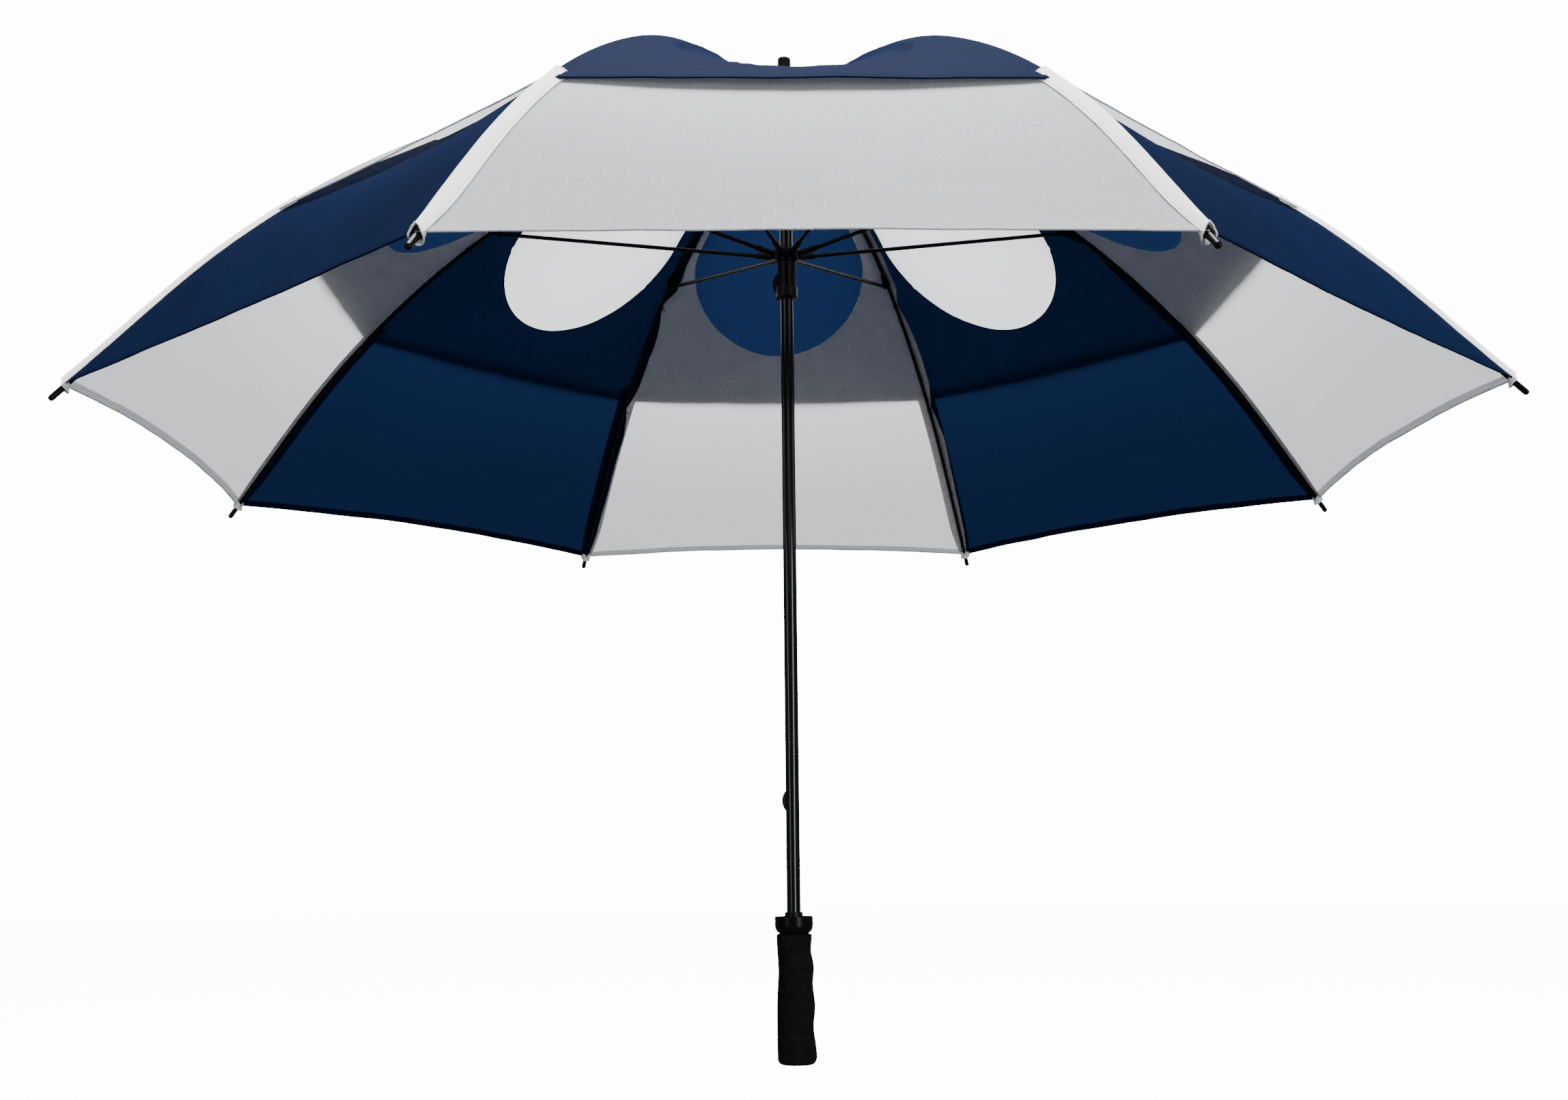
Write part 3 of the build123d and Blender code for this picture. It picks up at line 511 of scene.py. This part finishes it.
def half_gore(layer):
    """Half a gore laid flat, y from 0 to the rib: points, and triangles within and past the joint."""
    facts = LAYERS[layer]
    inner, slope = facts["inner"], math.tan(HALF)
    corner = (facts["rim"] * cos(HALF), facts["rim"] * sin(HALF))
    joint_mid, joint_rib = (joint_cut_x(0), 0.0), (JOINT_R * cos(HALF), JOINT_R * sin(HALF))
    loop = spaced((inner, 0), (inner, inner * slope), GRID)
    loop += spaced((inner, inner * slope), joint_rib, GRID) + spaced(joint_rib, corner, GRID)
    hem_steps = round(corner[1] / GRID)
    loop += [(hem_x(layer, corner[1] * (1 - i / hem_steps)), corner[1] * (1 - i / hem_steps))
             for i in range(hem_steps)]
    loop += spaced((hem_x(layer, 0), 0), joint_mid, GRID) + spaced(joint_mid, (inner, 0), GRID)
    points = [Vector(p) for p in loop]
    edges = [(i, (i + 1) % len(loop)) for i in range(len(loop))]
    lines = [spaced(joint_mid, joint_rib, GRID)[1:]]
    if layer == "lower":
        lines.append(vent_outline())
    for line in lines:
        base = len(points)
        points += [Vector(p) for p in line]
        edges += [(base + i, base + i + 1) for i in range(len(line) - 1)]
    rows = int(corner[0] / (GRID * 0.87))
    taken = np.array([tuple(p) for p in points])
    for row in range(1, rows + 1):
        x = inner + row * GRID * 0.87
        shift = GRID / 2 if row % 2 else 0.0
        for column in range(int(x * slope / GRID) + 1):
            y = column * GRID + shift
            if y > x * slope - GRID * 0.4 or x > hem_x(layer, y) - GRID * 0.4 or y < GRID * 0.4:
                continue
            if np.min(np.hypot(taken[:, 0] - x, taken[:, 1] - y)) < GRID * 0.55:
                continue
            points.append(Vector((x, y)))
    result = delaunay_2d_cdt(points, edges, [], 1, 1e-6)
    flat = [tuple(p) for p in result[0]]
    inside, outside = [], []
    for face in result[2]:
        cx = sum(flat[i][0] for i in face) / len(face)
        cy = sum(flat[i][1] for i in face) / len(face)
        if layer == "lower" and vent_distance(cx, cy) < 0:
            continue
        (inside if cx < joint_cut_x(cy) else outside).append(tuple(face))
    return flat, inside, outside


def cloth_normal(layer, gore, x, y):
    """The cloth's own outward direction at a point, taken from inside the gore, so that pieces meet unseen."""
    h = 0.002
    y = math.copysign(min(abs(y), max(0.0, x * math.tan(HALF) - 2 * h)), y)
    along = cloth_point(layer, gore, x + h, y) - cloth_point(layer, gore, x - h, y)
    across = cloth_point(layer, gore, x, y + h) - cloth_point(layer, gore, x, y - h)
    normal = along.cross(across).normalized()
    return normal if normal.z > 0 else -normal


def set_cloth_map(piece, gore):
    """A UV map in metres, along and across the gore, that the weave follows."""
    middle = rib_angle(gore) + HALF
    layer = piece.data.uv_layers.new(name="cloth")
    for loop in piece.data.loops:
        x, y, z = piece.data.vertices[loop.vertex_index].co
        along, across = x * cos(middle) + y * sin(middle), y * cos(middle) - x * sin(middle)
        layer.data[loop.index].uv = (along * 1.18, across)


def hem_run(layer, gore, side):
    """Points along half a hem, from the gore's middle to the rib, with their outward directions."""
    across = LAYERS[layer]["rim"] * sin(HALF)
    points, normals = [], []
    for i in range(HEM_STEPS + 1):
        y = side * across * i / HEM_STEPS
        x = hem_x(layer, y)
        points.append((x, y))
        normals.append(cloth_normal(layer, gore, x - 0.003, y))
    return points, normals


def hem_parts(layer, gore, side):
    """Rolled edge, folded band and stitch line along half a hem."""
    flat, normals = hem_run(layer, gore, side)
    band = HEM_BAND[layer]

    def row(back, lift):
        return [cloth_point(layer, gore, x - back, y * (1 - back / x), lift) for x, y in flat]

    parts = [tube(row(0.0003, -0.0002), HEM_BEAD_R, 6)]
    ridge, inner, outer = row(band, 0.00055), row(band + 0.0006, 0.00005), row(0.0005, 0.00045)
    count = len(flat)
    strip = [(i, i + 1, count + i + 1, count + i) for i in range(count - 1)]
    if side < 0:
        strip = [tuple(reversed(face)) for face in strip]
    parts.append((ridge + outer, [tuple(reversed(face)) for face in strip]))
    parts.append((inner + ridge, [tuple(reversed(face)) for face in strip]))
    parts.append(stitches(row(band - 0.0010, 0.0006), normals))
    return parts


def vent_parts(gore, side, zone):
    """The turned edge round half a vent, within or past the stretcher joint."""
    runs, run = [], []
    for x, y in vent_outline():
        if (x < joint_cut_x(y)) == (zone == "inner"):
            run.append((x, y))
        elif run:
            runs.append(run)
            run = []
    if run:
        runs.append(run)
    parts = []
    for run in runs:
        if len(run) > 2:
            line = [cloth_point("lower", gore, x, side * y, -0.0003) for x, y in run]
            parts.append(tube(line, VENT_BEAD_R, 6))
    return parts


def flap_parts(rib, zone):
    """The seam's turned-in flap under the cloth beside a rib."""
    side = FLAP_SIDE[rib]
    first, last = (FLAP[0][0], JOINT_R) if zone == "inner" else (JOINT_R, FLAP[-1][0])
    count = int((last - first) / 0.006)
    edge, middle, seam = [], [], []
    for i in range(count + 1):
        r = first + (last - first) * i / count
        width = np.interp(r, *zip(*FLAP)) * (1 + 0.10 * noise.noise(Vector((r * 40, rib * 3.7, 0.5))))
        seam.append(seam_point("lower", rib, r, side * 0.0002, -0.0006))
        middle.append(seam_point("lower", rib, r, side * width * 0.55, -0.0016 - width * 0.12))
        edge.append(seam_point("lower", rib, r, side * width, -0.0010 - width * 0.10))
    rows = count + 1
    faces = []
    for k in range(2):
        for i in range(count):
            face = (k * rows + i, k * rows + i + 1, (k + 1) * rows + i + 1, (k + 1) * rows + i)
            faces.append(face if side > 0 else tuple(reversed(face)))
    return [(seam + middle + edge, faces)]


def cloth_piece(layer, gore, side, zone, flat, triangles):
    """One piece of cloth: half a gore, within or past the stretcher joint, attached to its own rib."""
    rib = gore if side < 0 else gore % RIBS + 1
    color = cloth_of(layer, gore)
    used = sorted({i for face in triangles for i in face})
    place = {old: new for new, old in enumerate(used)}
    where = [(flat[i][0], side * flat[i][1]) for i in used]
    vertices = [cloth_point(layer, gore, x, y) for x, y in where]
    faces = [tuple(place[i] for i in (face if side > 0 else reversed(face))) for face in triangles]
    up = sum((vertices[f[1]] - vertices[f[0]]).cross(vertices[f[2]] - vertices[f[0]]).z for f in faces)
    if up < 0:
        faces = [tuple(reversed(face)) for face in faces]
    parts = [(vertices, faces)]
    if zone == "outer":
        parts += hem_parts(layer, gore, side)
    if layer == "lower":
        parts += vent_parts(gore, side, zone)
        if side < 0:
            parts += flap_parts(rib, zone)
    vertices, faces = join_parts(parts)
    half = "a" if side < 0 else "b"
    finish = WHITE if color == "white" else NAVY
    piece = new_object(f"{layer}_cloth_{gore}{half}_{zone}", vertices, faces, finish)
    normals = [tuple(vertex.normal) for vertex in piece.data.vertices]
    for i, (x, y) in enumerate(where):
        normals[i] = tuple(cloth_normal(layer, gore, x, y))
    piece.data.normals_split_custom_set_from_vertices(normals)
    set_cloth_map(piece, gore)
    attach(piece, f"rib_{zone}_{rib}")
    fold_to_rib(piece, layer, zone)
    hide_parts(f"{layer}_panel_{gore}")


def fold_to_rib(piece, layer, zone):
    """Gives a piece beside a rib a mesh of its own; the ends and middle of a pleat along the rib are worked out
    but not used, and nothing folds.
    """
    ends = (FOLD_FROM_S, JOINT_S) if zone == "inner" else (JOINT_S, RIB_S - FOLD_SHORT_OF_END)
    first, last = (rib_line(s) for s in ends)
    if layer == "upper" and zone == "outer":
        last = rib_line(UPPER_FOLD_TO_S)
    middle = rib_line((ends[0] + ends[1]) / 2)
    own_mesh(piece)


def seam_point(layer, rib, r, across, lift):
    """A point beside a rib's seam: across is its distance to the left of the rib, on the cloth of either gore."""
    gore, side = (rib, -1) if across >= 0 else ((rib - 2) % RIBS + 1, 1)
    off = abs(across)
    x = r * cos(HALF) + off * sin(HALF)
    y = side * (r * sin(HALF) - off * cos(HALF))
    return to_world(gore, x, y, cloth_height(layer, x, y, gore) + lift)


for layer in LAYERS:
    flat, inside, outside = half_gore(layer)
    for gore in range(1, RIBS + 1):
        for side in (-1, 1):
            cloth_piece(layer, gore, side, "inner", flat, inside)
            cloth_piece(layer, gore, side, "outer", flat, outside)


# Tape along each rib, outside the cloth, rounded over the rod and sewn along both edges

TAPE_FROM, TAPE_TO = 0.482, 0.6650
TAPE_HALF, TAPE_END_HALF = 0.0104, 0.0054
TAPE_ARCH, TAPE_THICKNESS, END_RISE = 0.0042, 0.0009, 0.0012
TAPE_RIDGES, RIDGE_HEIGHT, TAPE_UNEVEN = 8, 0.00018, 0.00035
SLEEVE_FROM, SLEEVE_DEPTH = 0.975, 0.0074


def tape_half(t):
    """Half the tape's width, from its flared top, t = 0, to its narrow end, t = 1."""
    half = TAPE_HALF + (TAPE_END_HALF - TAPE_HALF) * min(1.0, max(0.0, (t - 0.80) / 0.2)) ** 1.5
    return half + 0.0014 * math.exp(-(t / 0.05) ** 2)


def tape_point(rib, t, share, lift=0.0):
    """A point on the tape, along it by t and across it from one edge, -1, to the other, 1."""
    r = TAPE_FROM + (TAPE_TO - TAPE_FROM) * t
    arch = TAPE_ARCH * (1 - abs(share) ** 2.2) + TAPE_THICKNESS
    if t > 0.9:
        arch += END_RISE * (t - 0.9) / 0.1 * (1 - share ** 2)
    uneven = TAPE_UNEVEN * noise.noise(Vector((t * 14, share * 1.5, rib * 5.1)))
    ripple = RIDGE_HEIGHT * cos(share * TAPE_RIDGES * 2 * pi) + uneven
    return seam_point("lower", rib, r, share * tape_half(t), arch + ripple + lift)


def sleeve_point(rib, t, share):
    """The tape's turned-under end, passing below the rib from one edge of the tape to the other."""
    point = tape_point(rib, t, -1).lerp(tape_point(rib, t, 1), (share + 1) / 2)
    out = polar(sin(TIP_ANGLE), rib_angle(rib), cos(TIP_ANGLE))
    depth = SLEEVE_DEPTH * math.sqrt(min(1.0, max(0.0, (t - SLEEVE_FROM) / (1 - SLEEVE_FROM))))
    return point - out * (0.0004 + depth * math.sqrt(max(0.0, 1 - share ** 2)))


def grid_faces(rows, columns):
    """Faces of a grid of that many rows and columns of faces, its points listed row by row."""
    wide = columns + 1
    return [(i * wide + j, i * wide + j + 1, (i + 1) * wide + j + 1, (i + 1) * wide + j)
            for i in range(rows) for j in range(columns)]


def make_tape(rib):
    columns, rows = 32, 72
    vertices = [tape_point(rib, i / rows, 2 * j / columns - 1)
                for i in range(rows + 1) for j in range(columns + 1)]
    faces = grid_faces(rows, columns)
    up = (vertices[1] - vertices[0]).cross(vertices[columns + 1] - vertices[0]).z
    if up < 0:
        faces = [tuple(reversed(face)) for face in faces]
    parts = [(vertices, faces)]
    columns, rows = 16, 12
    vertices = [sleeve_point(rib, SLEEVE_FROM + (1 - SLEEVE_FROM) * i / rows, cos(pi * j / columns))
                for i in range(rows + 1) for j in range(columns + 1)]
    parts.append((vertices, grid_faces(rows, columns)))
    mouth = [tape_point(rib, 1, j / 10 - 1) for j in range(21)]
    mouth += [sleeve_point(rib, 1, cos(pi * j / columns)) for j in range(1, columns)]
    parts.append(tube(mouth, 0.0007, 6, closed=True))
    out = polar(0.6, rib_angle(rib), 0.8)
    for share in (-0.84, 0.84):
        line = [tape_point(rib, 0.01 + 0.93 * i / 60, share, 0.0001) for i in range(61)]
        parts.append(stitches(line, [out] * 61))
    for share in (-1, 1):
        parts.append(tube([tape_point(rib, i / 60, share, -0.0001) for i in range(61)], 0.0005, 6))
    parts.append(tube([tape_point(rib, 0, j / 10 - 1, 0.0) for j in range(21)], 0.0005, 6))
    vertices, faces = join_parts(parts)
    piece = new_object(f"rib_tape_{rib}", vertices, faces, TAPE)
    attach(piece, f"rib_outer_{rib}")
    length = sum((tape_point(rib, (i + 1) / 40, 0) - tape_point(rib, i / 40, 0)).length for i in range(40))


for rib in range(1, RIBS + 1):
    make_tape(rib)


# Ties: black thread round each rib, knotted to the seam

THREAD_R, TAIL_R, KNOT_R = 0.00045, 0.0004, 0.0010
TIE_WIDE, TIE_HIGH = 0.0024, 0.0031


def make_ties(rib):
    angle = rib_angle(rib)
    parts = []
    for number, r in enumerate(TIES):
        _, z, slope = LINE[int(np.argmin(abs(LINE[:, 0] - r)))]
        centre = polar(r, angle, z + 0.0005)
        down = polar(cos(slope), angle, -sin(slope))
        across = Vector((-sin(angle), cos(angle), 0))
        out = across.cross(down)
        out = out if out.z > 0 else -out
        for shift, tilt in ((-0.0009, 0.2), (0.0, -0.1), (0.0008, 0.05)):
            ring = [centre + down * (shift + tilt * 0.003 * sin(a)) + across * (TIE_WIDE * cos(a)) +
                    out * (TIE_HIGH * sin(a)) for a in (2 * pi * i / 18 for i in range(18))]
            parts.append(tube(ring, THREAD_R, 6, closed=True))
        side = FLAP_SIDE[rib]
        knot = centre - out * 0.0026 + across * side * 0.0018
        for turn in (0.4, 1.7 + number):
            away = across * side * cos(turn) - out * abs(sin(turn)) + down * (0.5 - number * 0.4)
            tail = [knot, knot + away * 0.0022, knot + away * 0.0042 - Vector((0, 0, 0.0016))]
            parts.append(tube(tail, TAIL_R, 5))
        knob = [knot + Vector((0, 0, 0.0012)) - across * side * 0.0010, knot, knot + down * 0.0014]
        parts.append(tube(knob, lambda t: KNOT_R * (1.2 - t * 0.4), 8))
    vertices, faces = join_parts(parts)
    piece = new_object(f"seam_ties_{rib}", vertices, faces, THREAD)
    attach(piece, f"rib_outer_{rib}")


for rib in range(1, RIBS + 1):
    make_ties(rib)


# Runner: the wire through the stretcher sockets, and the hub's fork round each socket

WIRE_R = 0.0006
FORK_ROOT_X, FORK_ROOT_HALF = 0.0095, 0.0042
FORK_END_X, FORK_END_LENGTH, FORK_END_HALF = 0.0118, 0.0045, 0.0036
FORK_LAYERS = ((-0.0046, 0.86), (-0.0038, 1.0), (0.0038, 1.0), (0.0046, 0.86))


def make_runner_fittings():
    ring = [polar(CROWN_R, 2 * pi * i / 64, RUNNER_PIVOT_Z) for i in range(64)]
    vertices, faces = tube(ring, WIRE_R, 8, closed=True)
    wire = new_object("runner_wire", vertices, faces, STEEL)
    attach(wire, "runner")
    outline = [(FORK_ROOT_X, -FORK_ROOT_HALF)]
    for i in range(13):
        a = -pi / 2 + pi * i / 12
        outline.append((FORK_END_X + FORK_END_LENGTH * cos(a), FORK_END_HALF * sin(a)))
    outline.append((FORK_ROOT_X, FORK_ROOT_HALF))
    count = len(outline)
    faces = [(k * count + i, k * count + (i + 1) % count, (k + 1) * count + (i + 1) % count, (k + 1) * count + i)
             for k in range(len(FORK_LAYERS) - 1) for i in range(count)]
    faces += [tuple(reversed(range(count))), tuple(range(3 * count, 4 * count))]
    parts = []
    for number in range(RIBS):
        middle = HALF + number * PITCH + HALF
        vertices = []
        for z, shrink in FORK_LAYERS:
            for r, y in outline:
                r = FORK_ROOT_X + (r - FORK_ROOT_X) * shrink
                vertices.append(Vector((r * cos(middle) - y * shrink * sin(middle),
                                        r * sin(middle) + y * shrink * cos(middle), RUNNER_PIVOT_Z + z)))
        parts.append((vertices, faces))
    vertices, faces = join_parts(parts)
    fork = new_object("runner_forks", vertices, faces, PLASTIC, smooth=False)
    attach(fork, "runner")


make_runner_fittings()


# Foam grip: nearly straight at the back, finger grooves in front, fuller at its rounded lower end

grip_low, grip_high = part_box("foam_grip")
GRIP_H = grip_high.z
GRIP_R = (grip_high.y - grip_low.y) / 2
GRIP_EDGE, GRIP_EDGE_HEIGHT = 0.0044, 0.0064
GRIP_LIP, GRIP_LIP_HEIGHT = 0.0016, 0.0022

# Radius in front and at the back, by height
GRIP_FRONT = ((0, 0.0199), (0.009, 0.0205), (0.022, 0.0189), (0.034, 0.0172), (0.046, 0.0188), (0.054, 0.0193),
              (0.062, 0.0184), (0.0735, 0.0168), (0.082, 0.0182), (0.088, 0.0186), (0.094, 0.0178),
              (0.104, 0.0153), (0.112, 0.0166), (0.119, 0.0172))
GRIP_BACK = ((0, 0.0166), (0.05, 0.0168), (0.07, 0.0160), (0.085, 0.0147), (0.1, 0.0158), (0.119, 0.0168))


def grip_radius(z, angle):
    """Radius at a height and direction: +X holds the finger grooves, -X is nearly straight with one hollow."""
    front = max(0.0, cos(angle)) ** 1.3
    back = max(0.0, -cos(angle)) ** 1.3
    side = GRIP_R - 0.0003
    r = side + front * (smooth_table(GRIP_FRONT, z, 0.005) - side)
    r += back * (smooth_table(GRIP_BACK, z, 0.01) - side)
    for size, depth in ((GRIP_EDGE, 1 - z / GRIP_EDGE_HEIGHT),
                        (GRIP_LIP, (z - GRIP_H + GRIP_LIP_HEIGHT) / GRIP_LIP_HEIGHT)):
        if depth > 0:
            r -= size * (1 - math.sqrt(max(0.0, 1 - depth ** 2)))
    return r


def make_grip():
    around, rows = 96, 118
    vertices, faces = [], []
    for i in range(rows + 1):
        z = GRIP_H * (i / rows)
        for j in range(around):
            a = 2 * pi * j / around
            r = grip_radius(z, a) + 0.00012 * noise.noise(polar(6, a, z * 90))
            vertices.append(polar(r, a, z))
    for i in range(rows):
        for j in range(around):
            k = (j + 1) % around
            faces.append((i * around + j, i * around + k, (i + 1) * around + k, (i + 1) * around + j))
    for z, first, flip in ((0.0, 0, True), (GRIP_H, rows * around, False)):
        ring = list(range(first, first + around))
        for share in (0.75, 0.5, 0.25):
            base = len(vertices)
            vertices += [Vector((vertices[first + j].x * share, vertices[first + j].y * share, z))
                         for j in range(around)]
            for j in range(around):
                k = (j + 1) % around
                face = (ring[j], ring[k], base + k, base + j)
                faces.append(tuple(reversed(face)) if flip else face)
            ring = list(range(base, base + around))
        faces.append(tuple(reversed(ring)) if flip else tuple(ring))
    piece = new_object("grip", vertices, faces, FOAM)
    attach(piece, "shaft")
    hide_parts("foam_grip")


make_grip()

# Camera: low in front of the canopy and looking slightly up

CAMERA_DISTANCE, CAMERA_FALL = 1.69638, radians(-10.34553)
CAMERA_TURN, CAMERA_PITCH, CAMERA_ROLL = radians(0.186451), radians(-0.456327), radians(0.661746)
CAMERA_ORBIT = radians(-1.728209)
LENS_PIXELS, PICTURE_WIDTH = 2531.993, 2296
LOOK_HEIGHT = 0.5


def make_camera():
    place = Vector((0, -CAMERA_DISTANCE * cos(CAMERA_FALL), LOOK_HEIGHT + CAMERA_DISTANCE * sin(CAMERA_FALL)))
    ahead = Vector((0, cos(CAMERA_FALL), -sin(CAMERA_FALL)))
    right = ahead.cross(Vector((0, 0, 1))).normalized()
    up = right.cross(ahead)
    turn = Matrix.Rotation(CAMERA_TURN, 3, up)
    ahead, right = turn @ ahead, turn @ right
    pitch = Matrix.Rotation(CAMERA_PITCH, 3, right)
    ahead, up = pitch @ ahead, pitch @ up
    roll = Matrix.Rotation(CAMERA_ROLL, 3, ahead)
    right, up = roll @ right, roll @ up
    axes = Matrix((right, up, -ahead)).transposed()
    orbit = Matrix.Rotation(CAMERA_ORBIT, 4, "Z")
    data = bpy.data.cameras.new("camera")
    data.sensor_fit, data.sensor_width = "HORIZONTAL", 36.0
    data.lens = LENS_PIXELS / PICTURE_WIDTH * data.sensor_width
    data.clip_end = 50
    camera = bpy.data.objects.new("camera", data)
    bpy.context.scene.collection.objects.link(camera)
    camera.matrix_world = orbit @ Matrix.Translation(place) @ axes.to_4x4()
    bpy.context.scene.camera = camera


make_camera()

# Floor, backdrop and light

STAGE_R, GROUND_Z = 14.0, -0.3
FLOOR_GLOW, BACKDROP_GLOW = 13.0, 14.0
PALE = (0.9, 0.9, 0.91)


def pale_material(name, glow):
    """A pale surface that looks evenly lit."""
    made, _, shader = material(name, PALE, 0.95)
    shader.inputs["Emission Color"].default_value = (1, 1, 1, 1)
    shader.inputs["Emission Strength"].default_value = glow
    return made


def only_seen(piece):
    """Makes it a backdrop that the camera sees, and that throws no light or shadow on the object."""
    piece.visible_diffuse = piece.visible_glossy = piece.visible_transmission = False
    piece.visible_shadow = False


def make_stage():
    count, rings = 96, 24
    edge = [polar(STAGE_R, 2 * pi * i / count, GROUND_Z) for i in range(count)]
    only_seen(new_object("floor", edge, [tuple(range(count))], pale_material("floor", FLOOR_GLOW)))
    vertices, faces = [], []
    for k in range(rings + 1):
        a = pi / 2 * k / rings * 0.995
        vertices += [polar(STAGE_R * cos(a), 2 * pi * i / count, GROUND_Z + STAGE_R * sin(a))
                     for i in range(count)]
    for k in range(rings):
        for i in range(count):
            j = (i + 1) % count
            faces.append((k * count + j, k * count + i, (k + 1) * count + i, (k + 1) * count + j))
    faces.append(tuple(range(rings * count, (rings + 1) * count)))
    only_seen(new_object("backdrop", vertices, faces, pale_material("backdrop", BACKDROP_GLOW)))
    world = bpy.data.worlds.new("studio")
    world.use_nodes = True
    sky = world.node_tree.nodes["Background"]
    sky.inputs["Color"].default_value = (0.93, 0.96, 1.0, 1)
    sky.inputs["Strength"].default_value = 0.15
    bpy.context.scene.world = world


def make_light(name, place, target, size, power, tall=None):
    """A soft round light, or a strip where it is given a height, turned towards its target."""
    data = bpy.data.lights.new(name, "AREA")
    data.shape, data.size, data.energy = "DISK", size, power
    if tall:
        data.shape, data.size_y = "RECTANGLE", tall
    light = bpy.data.objects.new(name, data)
    bpy.context.scene.collection.objects.link(light)
    light.location = place
    light.rotation_euler = (Vector(target) - Vector(place)).to_track_quat("-Z", "Z").to_euler()


make_stage()
make_light("overhead", (0, 0, 3.9), (0, 0, 0.75), 2.4, 640)
make_light("strip_right", (1.5, -2.2, 0.5), (0, 0, 0.4), 0.5, 40, tall=1.4)
make_light("strip_left", (-1.9, -1.6, 0.5), (0, 0, 0.4), 0.3, 10, tall=1.4)
